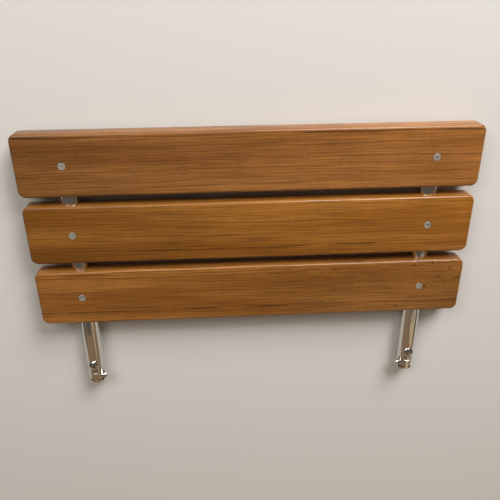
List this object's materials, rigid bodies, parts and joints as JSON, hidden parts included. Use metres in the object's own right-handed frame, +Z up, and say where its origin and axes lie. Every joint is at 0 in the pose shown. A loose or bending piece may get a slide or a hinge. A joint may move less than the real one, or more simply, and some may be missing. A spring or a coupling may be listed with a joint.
{
  "type": "fold-down shower seat",
  "caption": "Wall-hinged shower seat: hardwood slats screwed across round steel arms that fold up against the wall.",
  "frame": {"origin": "midway between the two hinge feet, on the wall plane, at the height of the arms' centre line", "axes": "+X along the slats to the right as seen from the room, +Y into the wall, +Z up from the sitting surface"},
  "size_m": [0.508, 0.327, 0.028],
  "materials": {
    "oiled_teak": "satin varnish, straight grain along the slat",
    "polished_stainless": "mirror polished",
    "screw_stainless": "plain stainless screw, slightly dull",
    "domed_screw": "bright domed head",
    "nut_steel": "plain",
    "black_plastic": "moulded, fine texture",
    "white_nylon": "plain"
  },
  "bodies": {
    "wall_hinges": {"left_hinge_foot": "polished_stainless", "right_hinge_foot": "polished_stainless", "left_pivot_bush": "white_nylon", "right_pivot_bush": "white_nylon"},
    "seat": {"front_slat": "oiled_teak", "middle_slat": "oiled_teak", "rear_slat": "oiled_teak", "left_arm_tube": "polished_stainless", "right_arm_tube": "polished_stainless", "left_front_cap": "black_plastic", "right_front_cap": "black_plastic", "front_left_slat_screw": "screw_stainless", "middle_left_slat_screw": "screw_stainless", "rear_left_slat_screw": "screw_stainless", "front_right_slat_screw": "screw_stainless", "middle_right_slat_screw": "screw_stainless", "rear_right_slat_screw": "screw_stainless", "front_left_rivet_nut": "nut_steel", "middle_left_rivet_nut": "nut_steel", "rear_left_rivet_nut": "nut_steel", "front_right_rivet_nut": "nut_steel", "middle_right_rivet_nut": "nut_steel", "rear_right_rivet_nut": "nut_steel", "left_hinge_plug": "polished_stainless", "right_hinge_plug": "polished_stainless", "left_plug_screw": "domed_screw", "right_plug_screw": "domed_screw", "left_pivot_screw": "domed_screw", "right_pivot_screw": "domed_screw", "left_pivot_ferrule": "polished_stainless", "right_pivot_ferrule": "polished_stainless"}
  },
  "joints": [
    {"name": "seat_fold", "type": "hinge", "parent": "wall_hinges", "child": "seat", "pos_m": [0, -0.009, 0.0065], "axis": [-1, 0, 0], "range_deg": [0, 88]}
  ]
}
